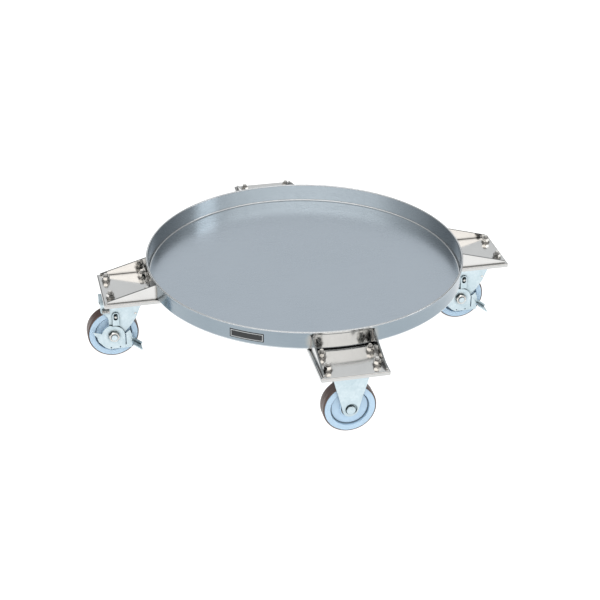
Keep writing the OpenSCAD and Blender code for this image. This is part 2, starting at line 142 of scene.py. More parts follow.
def setStops(ramp, stops):
    while len(ramp.elements) < len(stops):
        ramp.elements.new(0.5)
    for element, (place, level) in zip(ramp.elements, stops):
        element.position = place
        element.color = (level, level, level, 1) if isinstance(level, (int, float)) else (*level, 1)


def startMaterial(name, **constants):
    material = bpy.data.materials.new(name)
    material.use_nodes = True
    tree = material.node_tree
    shader = tree.nodes["Principled BSDF"]
    for socket, value in constants.items():
        shader.inputs[socket.replace("_", " ")].default_value = value
    place = Wire(tree, tree.nodes.new("ShaderNodeTexCoord").outputs["Object"])
    return material, shader, place


def noise(place, scale, stretch=(1, 1, 1), detail=3, roughness=0.5):
    spread = place.node("ShaderNodeMapping", None, {"Vector": place, "Scale": stretch})
    return place.node("ShaderNodeTexNoise", None,
                      {"Vector": spread, "Scale": scale, "Detail": detail, "Roughness": roughness})


def blendColour(amount, low, high):
    low = low if isinstance(low, Wire) else (*low, 1)
    high = high if isinstance(high, Wire) else (*high, 1)
    return amount.node("ShaderNodeMix", {"data_type": "RGBA"},
                       {"Factor": amount, 6: low, 7: high}, output=2)


def bumped(height, strength, distance):
    return height.node("ShaderNodeBump", None,
                       {"Strength": strength, "Distance": distance, "Height": height})


def split(place):
    parts = place.node("ShaderNodeSeparateXYZ", None, {"Vector": place})
    return [Wire(place.tree, parts.socket.node.outputs[axis]) for axis in ("X", "Y", "Z")]


# Sheet and bar metal: cloudy mill finish, fine drawn grain, a few scratches
metalSkin = {"scratchScale": 260, "scratchStops": [(0.60, 0.0), (0.70, 1.0)],
             "shadeStops": [(0.30, 0.0), (0.70, 1.0)], "cloudRough": 0.10, "scratchRough": 0.05,
             "bumpDeep": 0.0002}


def metalMaterial(name, metal):
    material, shader, place = startMaterial(name, Metallic=1.0)
    grain = noise(place, metal["grainScale"], metal["grain"], 5, 0.65)
    cloud = noise(place, metal["cloudScale"], (1, 1, 1), 3, 0.55)
    scratch = noise(place, metalSkin["scratchScale"], metal["scratch"], 2, 0.4)
    scratch = scratch.ramp(*metalSkin["scratchStops"])
    mix = grain * 0.5 + cloud * 0.5
    shade = mix.ramp(*metalSkin["shadeStops"])
    colour = blendColour(shade, metal["dark"], metal["light"])
    rough = metal["rough"] + (grain - 0.5) * metal["grainRough"]
    rough = rough + (cloud - 0.5) * metalSkin["cloudRough"] + scratch * metalSkin["scratchRough"]
    if "heat" in metal:
        colour, rough = heatMarks(place, colour, rough, metal["heat"])
    if "rim" in metal:
        # Painted light on the wall's inner face and in the bays between gussets
        colour = paintedWallLight(place, colour, shade, metal["inside"], metal["bay"])
        # Light bands: on the rim's top, wear and a painted highlight; on the bend at the wall's foot, a
        # painted highlight
        wearAndHighlight = (split(place)[2] * 10).ramp(*metal["rim"]["wearAndHighlight"])
        colour = blendColour(wearAndHighlight, colour, metal["rim"]["colour"])
        rough = rough + wearAndHighlight * metal["rim"]["rough"]
    # Painted shade on faces that turn upwards
    if "upwardShade" in metal:
        colour, rough = shadeUpwardFaces(place, colour, rough, metal["upwardShade"])
    # Painted shade in corners and gaps
    colour = shadeCorners(place, colour, metal["cornerShade"])
    colour.into(shader, "Base Color")
    rough.into(shader, "Roughness")
    bumped(grain * 0.8 - scratch * 0.4, metal["bump"], metalSkin["bumpDeep"]).into(shader, "Normal")
    return material


# Painted light: the wall's inner face and the bay between each pair of gussets are coloured lighter than
# the outer face of the same sheet
def paintedWallLight(place, colour, shade, inside, bay):
    x, y, z = split(place)
    across, along = x.maths("ABSOLUTE", x), y.maths("ABSOLUTE", y)
    inBay = x.maths("LESS_THAN", x.maths("MINIMUM", across, along), bay["half"])
    within = x.maths("LESS_THAN", x.maths("SQRT", x ** 2 + y ** 2), inside["radius"])
    colour = blendColour(inBay, colour, blendColour(shade, bay["dark"], bay["light"]))
    return blendColour(within, colour, blendColour(shade, inside["dark"], inside["light"]))


# Painted shade: faces of a plate that turn upwards, such as the gussets' top edges, are coloured darker
# and made rougher
def shadeUpwardFaces(place, colour, rough, upShade):
    normal = Wire(place.tree, place.tree.nodes.new("ShaderNodeNewGeometry").outputs["True Normal"])
    facingUp = split(normal)[2].ramp((upShade["from"], 0.0), (upShade["to"], 1.0))
    return blendColour(facingUp, colour, upShade["colour"]), rough + facingUp * upShade["rough"]


# Painted shade: the colour darkens where ambient occlusion finds corners, creases and gaps close by
def shadeCorners(place, colour, cornerShade):
    openness = place.node("ShaderNodeAmbientOcclusion", {"samples": 6}, {"Distance": cornerShade["reach"]})
    alpha = Wire(place.tree, openness.socket.node.outputs["AO"])
    inShade = alpha.ramp((cornerShade["closed"], 1.0), (cornerShade["open"], 0.0)) * cornerShade["strength"]
    return blendColour(inShade, colour, cornerShade["colour"])


# Straw and blue marks where the gussets are welded to the other side of the tray wall
def heatMarks(place, colour, rough, heat):
    x, y, z = split(place)
    across, along = x.maths("ABSOLUTE", x), y.maths("ABSOLUTE", y)
    nearAxis = x.maths("MINIMUM", across, along) - heat["offset"]
    farAxis = x.maths("MAXIMUM", across, along)
    rise = (z - heat["height"]) * heat["squash"]
    wobble = noise(place, 120, (1, 1, 1), 2, 0.5) * 0.006
    away = x.maths("SQRT", nearAxis ** 2 + rise ** 2) + wobble
    onWall = farAxis.ramp((heat["wall"] - 0.006, 0.0), (heat["wall"], 1.0))
    halo = (away * (1 / heat["size"])).ramp((0.25, 1.0), (0.95, 0.0)) * onWall * heat["strength"]
    core = (away * (1 / heat["size"])).ramp((0.15, 1.0), (0.45, 0.0)) * onWall * heat["strength"]
    tinted = blendColour(core, blendColour(halo, colour, heat["straw"]), heat["blue"])
    return tinted, rough + halo * 0.08


# In each metal finish below, the first entry sets the painted shade in corners and gaps: its reach, its
# strength and its colour
rolledStainless = {
    "cornerShade": {"reach": 0.006, "closed": 0.40, "open": 0.80, "strength": 0.6, "colour": (0.16, 0.20, 0.22)},
    "dark": (0.375, 0.427, 0.478), "light": (0.425, 0.480, 0.532), "rough": 0.28, "grainRough": 0.10,
    "grain": (1, 26, 26), "grainScale": 60, "cloudScale": 7, "scratch": (0.05, 1, 1), "bump": 0.10}
wallStainless = {
    "cornerShade": {"reach": 0.005, "closed": 0.35, "open": 0.75, "strength": 0.6, "colour": (0.07, 0.09, 0.10)},
    # Bands at the foot bend and the rim: painted highlight, and on the rim also wear
    "rim": {"wearAndHighlight": [(0.012, 1.0), (0.032, 0.0), (0.335, 0.0), (0.352, 1.0)],
            "colour": (0.64, 0.67, 0.69), "rough": 0.10},
    # Lighter colours for the bays and the inner face: painted light on the same sheet
    "bay": {"half": 0.0555, "dark": (0.435, 0.45, 0.455), "light": (0.505, 0.52, 0.525)},
    "inside": {"radius": 0.3070, "dark": (0.49, 0.53, 0.55), "light": (0.58, 0.62, 0.64)},
    "dark": (0.24, 0.29, 0.33), "light": (0.295, 0.35, 0.39), "rough": 0.15, "grainRough": 0.08,
    "grain": (1, 1, 22), "grainScale": 60, "cloudScale": 7, "scratch": (1, 1, 0.05), "bump": 0.08,
    "heat": {"offset": 0.0575, "height": 0.016, "squash": 0.55, "wall": 0.29, "size": 0.016,
             "strength": 0.40, "straw": (0.62, 0.53, 0.38), "blue": (0.34, 0.40, 0.50)}}
brightStainless = {
    "cornerShade": {"reach": 0.006, "closed": 0.40, "open": 0.90, "strength": 0.85, "colour": (0.05, 0.05, 0.05)},
    "dark": (0.50, 0.505, 0.50), "light": (0.58, 0.585, 0.58), "rough": 0.13, "grainRough": 0.08,
    "grain": (20, 1, 20), "grainScale": 60, "cloudScale": 16, "scratch": (1, 0.05, 1), "bump": 0.06}
# Gussets: the bracket steel in their own colours, with painted shade on faces that turn upwards
gussetStainless = dict(brightStainless, dark=(0.58, 0.58, 0.57), light=(0.67, 0.67, 0.66),
                       upwardShade={"from": 0.25, "to": 0.40, "colour": (0.19, 0.20, 0.20), "rough": 0.15})
weldSteel = {
    "cornerShade": {"reach": 0.003, "closed": 0.30, "open": 0.75, "strength": 0.7, "colour": (0.05, 0.05, 0.05)},
    "dark": (0.42, 0.41, 0.40), "light": (0.66, 0.64, 0.60), "rough": 0.30, "grainRough": 0.15,
    "grain": (1, 1, 1), "grainScale": 300, "cloudScale": 60, "scratch": (1, 1, 1), "bump": 0.10}
zincPlating = {
    "cornerShade": {"reach": 0.007, "closed": 0.45, "open": 0.95, "strength": 0.9, "colour": (0.04, 0.07, 0.08)},
    "dark": (0.43, 0.545, 0.595), "light": (0.66, 0.75, 0.79), "rough": 0.36, "grainRough": 0.12,
    "grain": (1, 1, 1), "grainScale": 190, "cloudScale": 38, "scratch": (1, 1, 0.08), "bump": 0.16}
turnedSteel = {
    "cornerShade": {"reach": 0.006, "closed": 0.45, "open": 0.98, "strength": 0.95, "colour": (0.03, 0.03, 0.03)},
    "dark": (0.50, 0.49, 0.47), "light": (0.80, 0.79, 0.76), "rough": 0.13, "grainRough": 0.10,
    "grain": (1, 1, 1), "grainScale": 240, "cloudScale": 60, "scratch": (1, 1, 0.1), "bump": 0.05}
print("shader helpers ready")


# Moulded plastic and rubber: slight mottling, a fine moulded skin, scuffs
def mouldedMaterial(name, plastic):
    material, shader, place = startMaterial(name, Roughness=plastic["rough"], IOR=plastic["ior"])
    cloud = noise(place, plastic["scale"], (1, 1, 1), 4, 0.6)
    skin = noise(place, 900, (1, 1, 1), 2, 0.5)
    scuff = noise(place, 70, (1, 0.2, 1), 5, 0.7).ramp((0.58, 0.0), (0.72, 1.0))
    colour = blendColour(cloud, plastic["dark"], plastic["light"])
    colour = blendColour(scuff * plastic["scuff"], colour, plastic["scuffed"])
    # Painted shade in corners and gaps darkens the base colour
    shadeCorners(place, colour, plastic["cornerShade"]).into(shader, "Base Color")
    (plastic["rough"] + (cloud - 0.5) * 0.12 + scuff * 0.12).into(shader, "Roughness")
    bumped(skin * 0.5 + cloud * 0.5, 0.12, 0.0002).into(shader, "Normal")
    return material


# In each plastic below, the last entry sets the painted shade in its corners and gaps
coreNylon = {"dark": (0.42, 0.585, 0.745), "light": (0.48, 0.655, 0.81), "rough": 0.40, "ior": 1.5,
             "scale": 45, "scuff": 0.25, "scuffed": (0.38, 0.47, 0.58),
             "cornerShade": {"reach": 0.006, "closed": 0.30, "open": 0.80, "strength": 0.8,
                      "colour": (0.05, 0.08, 0.11)}}
brownUrethane = {"dark": (0.062, 0.036, 0.030), "light": (0.098, 0.060, 0.050), "rough": 0.36, "ior": 1.5,
                 "scale": 60, "scuff": 0.35, "scuffed": (0.16, 0.12, 0.105),
                 "cornerShade": {"reach": 0.004, "closed": 0.30, "open": 0.80, "strength": 0.6,
                          "colour": (0.02, 0.015, 0.013)}}
blackRubber = {"dark": (0.020, 0.020, 0.021), "light": (0.036, 0.036, 0.037), "rough": 0.60, "ior": 1.5,
               "scale": 90, "scuff": 0.30, "scuffed": (0.07, 0.07, 0.07),
               "cornerShade": {"reach": 0.004, "closed": 0.30, "open": 0.80, "strength": 0.5,
                        "colour": (0.01, 0.01, 0.01)}}


# A blank black plate with a thin pale line round it, drawn along the wall's curve
def labelMaterial(name, label):
    material, shader, place = startMaterial(name, Roughness=label["rough"])
    x, y, z = split(place)
    along = (x.maths("ARCTAN2", y, x) - label["turn"]) * label["radius"]
    sideways = x.maths("ABSOLUTE", along) - label["halfWidth"]
    upward = x.maths("ABSOLUTE", z - label["height"]) - label["halfHeight"]
    edge = x.maths("ABSOLUTE", x.maths("MAXIMUM", sideways, upward))
    line = (edge * (1 / label["line"])).ramp((0.42, 1.0), (0.58, 0.0))
    film = noise(place, 40, (1, 1, 1), 3, 0.5)
    ground = blendColour(film, label["dark"], label["light"])
    blendColour(line * 0.9, ground, label["lineColour"]).into(shader, "Base Color")
    (label["rough"] + (film - 0.5) * 0.12).into(shader, "Roughness")
    bumped(line * 0.6 + film * 0.4, 0.15, 0.0001).into(shader, "Normal")
    return material


labelLow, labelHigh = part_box("label_plate")
labelMiddle = (labelLow + labelHigh) / 2
labelFilm = {"rough": 0.30, "turn": math.atan2(labelMiddle.y, labelMiddle.x), "radius": 0.3085,
             "height": labelMiddle.z, "halfWidth": 0.0305, "halfHeight": 0.0063, "line": 0.0011,
             "dark": (0.007, 0.010, 0.012), "light": (0.013, 0.017, 0.019),
             "lineColour": (0.62, 0.66, 0.68)}

materials = {
    "tray_steel": metalMaterial("rolledStainless", rolledStainless),
    "tray_wall_steel": metalMaterial("wallStainless", wallStainless),
    "gusset": metalMaterial("gussetStainless", gussetStainless),
    "weld": metalMaterial("weldSteel", weldSteel),
    "bracket_steel": metalMaterial("brightStainless", brightStainless),
    "zinc_plate": metalMaterial("zincPlating", zincPlating),
    "bright_steel": metalMaterial("turnedSteel", turnedSteel),
    "core_plastic": mouldedMaterial("coreNylon", coreNylon),
    "urethane_tread": mouldedMaterial("brownUrethane", brownUrethane),
    "shoe_rubber": mouldedMaterial("blackRubber", blackRubber),
    "label_black": labelMaterial("labelFilm", labelFilm)}
for name, piece in nodes.items():
    piece.data.materials.clear()
    piece.data.materials.append(materials[slotOf[name]])
print("materials made:", len(materials))


# Making pieces: everything starts deselected, and ends at the origin with its place in its mesh
def pick(*pieces):
    bpy.ops.object.select_all(action="DESELECT")
    for piece in pieces:
        piece.select_set(True)
    bpy.context.view_layer.objects.active = pieces[-1]


def addModifier(piece, kind, **settings):
    pick(piece)
    bpy.ops.object.modifier_add(type=kind)
    modifier = piece.modifiers[-1]
    for name, value in settings.items():
        setattr(modifier, name, value)
    bpy.ops.object.modifier_apply(modifier=modifier.name)


def soften(piece, edge, steps=2, angle=35):
    addModifier(piece, "BEVEL", width=edge, segments=steps, limit_method="ANGLE",
                angle_limit=math.radians(angle), use_clamp_overlap=True)


# A turned shape about Z: a circle pulled through rings of (radius, height)
def turnedPiece(name, rings, steps=48, solid=False):
    bpy.ops.object.select_all(action="DESELECT")
    radius, height = rings[0]
    bpy.ops.mesh.primitive_circle_add(vertices=steps, radius=radius,
                                      fill_type="NGON" if solid else "NOTHING")
    piece = bpy.context.object
    piece.name = name
    bpy.ops.object.mode_set(mode="EDIT")
    bpy.ops.mesh.select_all(action="SELECT")
    bpy.ops.transform.translate(value=(0, 0, height))
    for nextRadius, nextHeight in rings[1:]:
        bpy.ops.mesh.extrude_region_move() if solid else bpy.ops.mesh.extrude_edges_move()
        bpy.ops.transform.translate(value=(0, 0, nextHeight - height))
        grow = nextRadius / radius
        bpy.ops.transform.resize(value=(grow, grow, 1), center_override=(0, 0, nextHeight))
        radius, height = nextRadius, nextHeight
    bpy.ops.mesh.select_all(action="SELECT")
    bpy.ops.mesh.remove_doubles(threshold=0.000002)
    bpy.ops.mesh.normals_make_consistent(inside=False)
    bpy.ops.object.mode_set(mode="OBJECT")
    return piece


# Points on an arc, from angle start to angle end, in degrees
def arcRings(radius, height, size, start, end, steps):
    angles = [math.radians(start + (end - start) * step / steps) for step in range(steps + 1)]
    return [(radius + size * math.cos(angle), height + size * math.sin(angle)) for angle in angles]


def block(name, size, at, edge, steps=2):
    bpy.ops.object.select_all(action="DESELECT")
    bpy.ops.mesh.primitive_cube_add(size=1, location=at)
    piece = bpy.context.object
    piece.name = name
    piece.scale = size
    bpy.ops.object.transform_apply(location=True, rotation=True, scale=True)
    soften(piece, edge, steps)
    return piece


# An upright flat outline in X and Z, pulled to a thickness along Y
def outlinePiece(name, outline, lowSide, thickness):
    bpy.ops.object.select_all(action="DESELECT")
    bpy.ops.mesh.primitive_circle_add(vertices=len(outline), radius=1, fill_type="NGON")
    piece = bpy.context.object
    piece.name = name
    for corner, (x, z) in zip(piece.data.vertices, outline):
        corner.co = (x, lowSide, z)
    bpy.ops.object.mode_set(mode="EDIT")
    bpy.ops.mesh.select_all(action="SELECT")
    bpy.ops.mesh.extrude_region_move(TRANSFORM_OT_translate={"value": (0, thickness, 0)})
    bpy.ops.mesh.select_all(action="SELECT")
    bpy.ops.mesh.normals_make_consistent(inside=False)
    bpy.ops.object.mode_set(mode="OBJECT")
    return piece


# A merged copy of a CAD node with its flat faces joined and its sharp edges broken
def brokenEdgeCopy(node, name, edge, steps=2, angle=35):
    piece = bpy.data.objects.new(name, nodes[node].data.copy())
    bpy.context.scene.collection.objects.link(piece)
    pick(piece)
    bpy.ops.mesh.customdata_custom_splitnormals_clear()
    bpy.ops.object.mode_set(mode="EDIT")
    bpy.ops.mesh.select_all(action="SELECT")
    bpy.ops.mesh.remove_doubles(threshold=0.00001)
    bpy.ops.mesh.dissolve_limited(angle_limit=math.radians(0.4))
    bpy.ops.object.mode_set(mode="OBJECT")
    soften(piece, edge, steps, angle)
    return piece


def moved(piece, matrix):
    piece.data.transform(matrix)
    return piece


def twin(piece, name, matrix):
    copy = piece.copy()
    copy.data = piece.data.copy()
    copy.name = name
    bpy.context.scene.collection.objects.link(copy)
    return moved(copy, matrix)


def join(name, *pieces):
    pick(*pieces)
    bpy.ops.object.join()
    joined = bpy.context.object
    joined.name = name
    return joined


def drop(*pieces):
    for piece in pieces:
        bpy.data.objects.remove(piece)


def cutWith(piece, cutter, operation="DIFFERENCE"):
    addModifier(piece, "BOOLEAN", operation=operation, solver="EXACT", object=cutter)
    drop(cutter)
    return piece


# Lays a piece that stands on the origin along Z onto a line, from start along run
def laidAlong(piece, start, run):
    return moved(piece, Matrix.Translation(start) @ run.to_track_quat("Z", "Y").to_matrix().to_4x4())


# Finish, body and slot come from the CAD node that the piece stands for
def handIn(piece, node, angle=35, finish=None):
    pick(piece)
    bpy.ops.object.shade_smooth_by_angle(angle=math.radians(angle))
    addModifier(piece, "WEIGHTED_NORMAL", keep_sharp=True)  # flat faces stay flat beside a broken edge
    piece.data.materials.clear()
    piece.data.materials.append(finish or materials[slotOf[node]])
    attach(piece, body_of(nodes[node])[0])
    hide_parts(node)


def middleOf(node):
    low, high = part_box(node)
    return (low + high) / 2


# Each caster is modelled standing at its own origin, facing out, and then put at its station
stationRadius = middleOf("back_wheel_core").y
axleHeight = middleOf("back_wheel_core").z
trail = -middleOf("left_wheel_core").x - stationRadius
halfTurn = Matrix.Rotation(math.pi, 4, "Z")
stations = {
    "front": Matrix.Translation((0, -stationRadius, 0)) @ halfTurn,
    "back": Matrix.Translation((0, stationRadius, 0)),
    "left": Matrix.Translation((-stationRadius, 0, 0)) @ halfTurn,
    "right": Matrix.Translation((stationRadius, 0, 0)) @ halfTurn}
rigidSides = ("front", "back")
swivelSides = ("left", "right")
axleTurn = Matrix.Rotation(math.radians(-90), 4, "X")


def onAxle(side):
    shift = trail if side in swivelSides else 0
    return stations[side] @ Matrix.Translation((shift, 0, axleHeight)) @ axleTurn


# Tray: the wall is one sheet, bent in from the floor and folded over into a hem at the rim
tray = {"outer": 0.310, "wall": 0.308, "sheet": 0.002, "floor": 0.303, "bend": 0.005, "rim": 0.036,
        "hem": 0.030, "hemRound": 0.0008, "seam": 0.0004, "seamDepth": 0.0035, "below": 0.004,
        "steps": 216}


def makeTrayWall(size):
    wall, sheet, bend = size["wall"], size["sheet"], size["bend"]
    inner, outer, hem = wall + size["seam"], size["outer"], size["hem"]
    tip, seam = hem + size["hemRound"], hem + size["seamDepth"]
    rings = arcRings(size["floor"], bend - sheet, bend, -90, 0, 8)
    rings += [(wall, hem - size["below"]), (wall, seam), (inner, seam), (inner, tip),
              (inner + 0.0003, hem + 0.0002), (outer - 0.0005, hem), (outer - 0.0001, tip),
              (outer, tip + 0.001)]
    rings += arcRings(wall, size["rim"] - sheet, sheet, 0, 180, 14)
    rings += arcRings(size["floor"], bend - sheet, bend - sheet, 0, -90, 8)
    wallPiece = turnedPiece("trayWall", rings + rings[:1], size["steps"])
    handIn(wallPiece, "tray_wall", 30, finish=materials["tray_wall_steel"])


makeTrayWall(tray)
print("tray made")

# Brackets: pans and gussets with broken edges
brackets = {"panEdge": 0.0004, "gussetEdge": 0.0005}
for side in stations:
    pan, gussets = side + "_bracket_plate", side + "_gussets"
    handIn(brokenEdgeCopy(pan, side + "BracketPan", brackets["panEdge"]), pan)
    handIn(brokenEdgeCopy(gussets, side + "Gussets", brackets["gussetEdge"]), gussets,
           finish=materials["gusset"])

# Welds: a rippled bead, modelled along Z, laid along a joint from one point to another
welds = {"radius": 0.0011, "ripple": 0.00022, "pitch": 0.0016, "gussetLine": 0.0560, "wallReach": 0.3028,
         "shifts": ((-0.0004, 0.0002), (0.0034, -0.0004)), "low": 0.0005, "high": 0.0285,
         "lapRadius": 0.2268, "lapHalf": 0.060, "lapLow": -0.0024}


def weldBead(name, start, end, size):
    run = Vector(end) - Vector(start)
    count = max(4, round(run.length / size["pitch"]))
    rings = [(0.0002, 0)]
    for ripple in range(count):
        rings += [(size["radius"] - size["ripple"], (ripple + 0.25) * run.length / count),
                  (size["radius"], (ripple + 0.75) * run.length / count)]
    bead = turnedPiece(name, rings + [(0.0002, run.length)], 10, solid=True)
    return laidAlong(bead, start, run)


def makeWelds(size):
    turns = {"back": 90, "left": 180, "front": -90, "right": 0}
    for side, turn in turns.items():
        beads = []
        for sign in (-1, 1):
            for across, along in size["shifts"]:
                line, reach = size["gussetLine"] + across, size["wallReach"] + along
                foot, top = ((reach, sign * line, size[end]) for end in ("low", "high"))
                beads.append(weldBead("bead", foot, top, size))
        beads.append(weldBead("bead", (size["lapRadius"], -size["lapHalf"], size["lapLow"]),
                              (size["lapRadius"], size["lapHalf"], size["lapLow"]), size))
        welded = join(side + "Welds", *beads)
        moved(welded, Matrix.Rotation(math.radians(turn), 4, "Z"))
        pick(welded)
        bpy.ops.object.shade_smooth_by_angle(angle=math.radians(60))
        welded.data.materials.append(materials["weld"])
        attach(welded, "chassis")


makeWelds(welds)
print("brackets and welds made")

# Caster bolts, from the head under the caster plate up to the thread's tip
bolt = {"radius": 0.004, "play": 0.0002, "flats": 0.013, "headTop": -0.009, "headHigh": 0.0053,
        "tip": 0.0131, "pitch": 0.00125, "threadDepth": 0.00045, "threadLow": 0.0070, "washerLow": -0.002,
        "washer": 0.0016, "washerRadius": 0.008, "springWasher": 0.002, "springRadius": 0.0066,
        "nutHigh": 0.0064, "rigid": (0.045, 0.023), "swivel": (0.035, 0.035),
        "gap": (0.004, 0.0009, 0.006), "gapAt": 0.0055}


# A hexagon whose corners are turned off at both ends, its sizes as shares of flats and height
hexagon = {"corner": 1.16, "face": 0.97, "turnedLow": 0.16, "turnedHigh": 0.84, "edge": 0.00018}


def hexPiece(name, flats, high):
    bpy.ops.object.select_all(action="DESELECT")
    overCorners = flats / 2 / math.cos(math.radians(30))
    bpy.ops.mesh.primitive_cylinder_add(vertices=6, radius=overCorners, depth=high,
                                        location=(0, 0, high / 2))
    piece = bpy.context.object
    piece.name = name
    bpy.ops.object.transform_apply(location=True, rotation=True, scale=True)
    corner, face = flats / 2 * hexagon["corner"], flats / 2 * hexagon["face"]
    side = [(face, 0), (corner, high * hexagon["turnedLow"]), (corner, high * hexagon["turnedHigh"]),
            (face, high)]
    cutWith(piece, turnedPiece("turning", side, 48, solid=True), "INTERSECT")
    soften(piece, hexagon["edge"], 2, 25)
    return piece


# A nut for this thread, its bore opened out at both mouths
def nutPiece(size, flats, high):
    radius = size["radius"]
    mouth, lead = radius * 1.12, radius * 0.12
    cutter = turnedPiece("boring", [(mouth, -0.001), (mouth, 0), (radius, lead), (radius, high - lead),
                                    (mouth, high), (mouth, high + 0.001)], 32, solid=True)
    return cutWith(hexPiece("nut", flats, high), cutter)


def threadRings(radius, depth, pitch, low, high):
    rings = []
    height = low
    while height + pitch < high - 0.0008:
        rings += [(radius, height), (radius, height + pitch * 0.2), (radius - depth, height + pitch * 0.6)]
        height += pitch
    return rings + [(radius, height), (radius, high - 0.0009), (radius - 0.0009, high)]


def makeFasteners(size):
    radius, threadLow = size["radius"], size["threadLow"]
    thread = threadRings(radius, size["threadDepth"], size["pitch"], threadLow + 0.0002, size["tip"])
    shank = turnedPiece("shank", [(radius, size["headTop"] - 0.0002), (radius, threadLow)] + thread, 24,
                        solid=True)
    head = moved(hexPiece("head", size["flats"], size["headHigh"]),
                 Matrix.Translation((0, 0, size["headTop"] - size["headHigh"])))
    low, middle = size["washerLow"], size["washerLow"] + size["washer"]
    bore, edge = radius + size["play"], size["washerRadius"]
    nutPlace = Matrix.Translation((0, 0, middle + size["springWasher"]))
    parts = {
        "caster_bolts": join("bolt", shank, head),
        "flat_washers": turnedPiece("washer", [
            (bore, low), (edge - 0.0002, low), (edge, low + 0.0002), (edge, middle - 0.0003),
            (edge - 0.0003, middle), (bore, middle), (bore, low)], 40),
        "spring_washers": makeSpringWasher(size, middle),
        "caster_nuts": moved(nutPiece(size, size["flats"], size["nutHigh"]), nutPlace)}
    names = {"caster_bolts": "Bolt", "flat_washers": "Washer", "spring_washers": "SpringWasher",
             "caster_nuts": "Nut"}
    for side, station in stations.items():
        acrossX, acrossY = size["rigid"] if side in rigidSides else size["swivel"]
        for index, (signX, signY) in enumerate(((-1, -1), (1, -1), (1, 1), (-1, 1))):
            hole = station @ Matrix.Translation((signX * acrossX, signY * acrossY, 0))
            for number, (node, part) in enumerate(parts.items()):
                spin = Matrix.Rotation(math.radians(17 + 23 * index + 31 * number), 4, "Z")
                handIn(twin(part, f"{side}{names[node]}{index + 1}", hole @ spin), node)
    drop(*parts.values())


# A spring washer is split across one side
def makeSpringWasher(size, low):
    inner, outer, high = size["radius"] + 0.0001, size["springRadius"], low + size["springWasher"]
    side = [(inner, low), (outer, low), (outer, high), (inner, high), (inner, low)]
    washer = turnedPiece("springWasher", side, 36)
    cutWith(washer, block("gap", size["gap"], (size["gapAt"], 0, (low + high) / 2), 0.0001, 1))
    soften(washer, 0.0002, 1)
    return washer


makeFasteners(bolt)
print("fasteners made")

# Wheels: a moulded core with a groove inside its rim and a raised hub, and a crowned tread
wheel = {"radius": 0.04999, "core": 0.047, "half": 0.014, "dish": 0.036, "web": 0.0095, "hub": 0.019,
         "hubHalf": 0.0145, "bearing": 0.016, "raceDepth": 0.009, "sleeve": 0.00806, "treadHalf": 0.013,
         "steps": 96}


def mirrored(rings):
    return rings + [(radius, -height) for radius, height in reversed(rings)]


def makeWheels(size):
    core, half, dish, web = size["core"], size["half"], size["dish"], size["web"]
    hub, hubHalf, bearing, sleeve = size["hub"], size["hubHalf"], size["bearing"], size["sleeve"]
    coreSide = [(core, half - 0.0008), (core - 0.0003, half - 0.0002), (core - 0.0009, half),
                (dish + 0.0012, half), (dish + 0.0004, half - 0.0003), (dish, half - 0.0010),
                (dish - 0.0002, web - 0.0016), (dish - 0.0006, web - 0.0024),
                (dish - 0.0016, web - 0.0024), (dish - 0.0021, web - 0.0016),
                (dish - 0.0023, web - 0.0004), (dish - 0.0030, web), (hub + 0.0034, web),
                (hub + 0.0012, web + 0.0004), (hub + 0.0004, web + 0.0012),
                (hub - 0.0002, hubHalf - 0.0010), (hub - 0.0006, hubHalf - 0.0003),
                (hub - 0.0012, hubHalf), (bearing + 0.0008, hubHalf), (bearing + 0.0001, hubHalf - 0.0006)]
    coreRings = mirrored(coreSide[::-1])
    radius, tread = size["radius"], size["treadHalf"]
    treadRings = mirrored([
        (core, tread), (core + 0.0011, tread), (core + 0.0020, tread - 0.0003),
        (radius - 0.0005, tread - 0.0011), (radius - 0.0002, tread - 0.0024),
        (radius - 0.0001, tread * 0.5), (radius - 0.0003, 0.0009), (radius, 0.0004)])
    raceLow, raceHigh = hubHalf - size["raceDepth"], hubHalf - 0.0001
    raceSide = [(sleeve, raceLow), (bearing, raceLow), (bearing, hubHalf - 0.0006),
                (bearing - 0.0004, raceHigh), (bearing - 0.0028, raceHigh),
                (bearing - 0.0032, hubHalf - 0.0006), (sleeve + 0.0026, hubHalf - 0.0009),
                (sleeve + 0.0022, raceHigh), (sleeve + 0.0003, raceHigh), (sleeve, hubHalf - 0.0004),
                (sleeve, raceLow)]
    corePiece = turnedPiece("core", coreRings + coreRings[:1], size["steps"])
    treadPiece = turnedPiece("tread", treadRings + treadRings[:1], size["steps"])
    race = turnedPiece("race", raceSide, 48)
    races = join("races", twin(race, "farRace", Matrix.Rotation(math.pi, 4, "X")), race)
    for side in stations:
        place = onAxle(side)
        handIn(twin(corePiece, side + "WheelCore", place), side + "_wheel_core", 30)
        handIn(twin(treadPiece, side + "WheelTread", place), side + "_wheel_tread", 30)
        handIn(twin(races, side + "Bearings", place), side + "_wheel_bearings")
    drop(corePiece, treadPiece, races)


makeWheels(wheel)
print("wheels made")

# Axles: a round-headed pin with a nut behind it on the rigid casters, and a hex bolt with a
# shouldered nut on the swivel ones
axle = {"radius": 0.006, "leg": 0.020, "leverOut": 0.0228, "play": 0.0003, "sink": 0.001,
        "headRadius": 0.0085, "headSide": 0.0028, "headRound": 0.0014,
        "domeEdge": 0.0034, "domeSide": 0.0046, "domeTop": 0.0049,
        "nutFlats": 0.0186, "nutHigh": 0.00624, "tail": 0.0025, "pitch": 0.0015, "threadDepth": 0.0005,
        "shoulder": 0.0099, "shoulderHigh": 0.0031, "sleeve": 0.008, "sleeveHalf": 0.017, "nutSpin": 0.3}


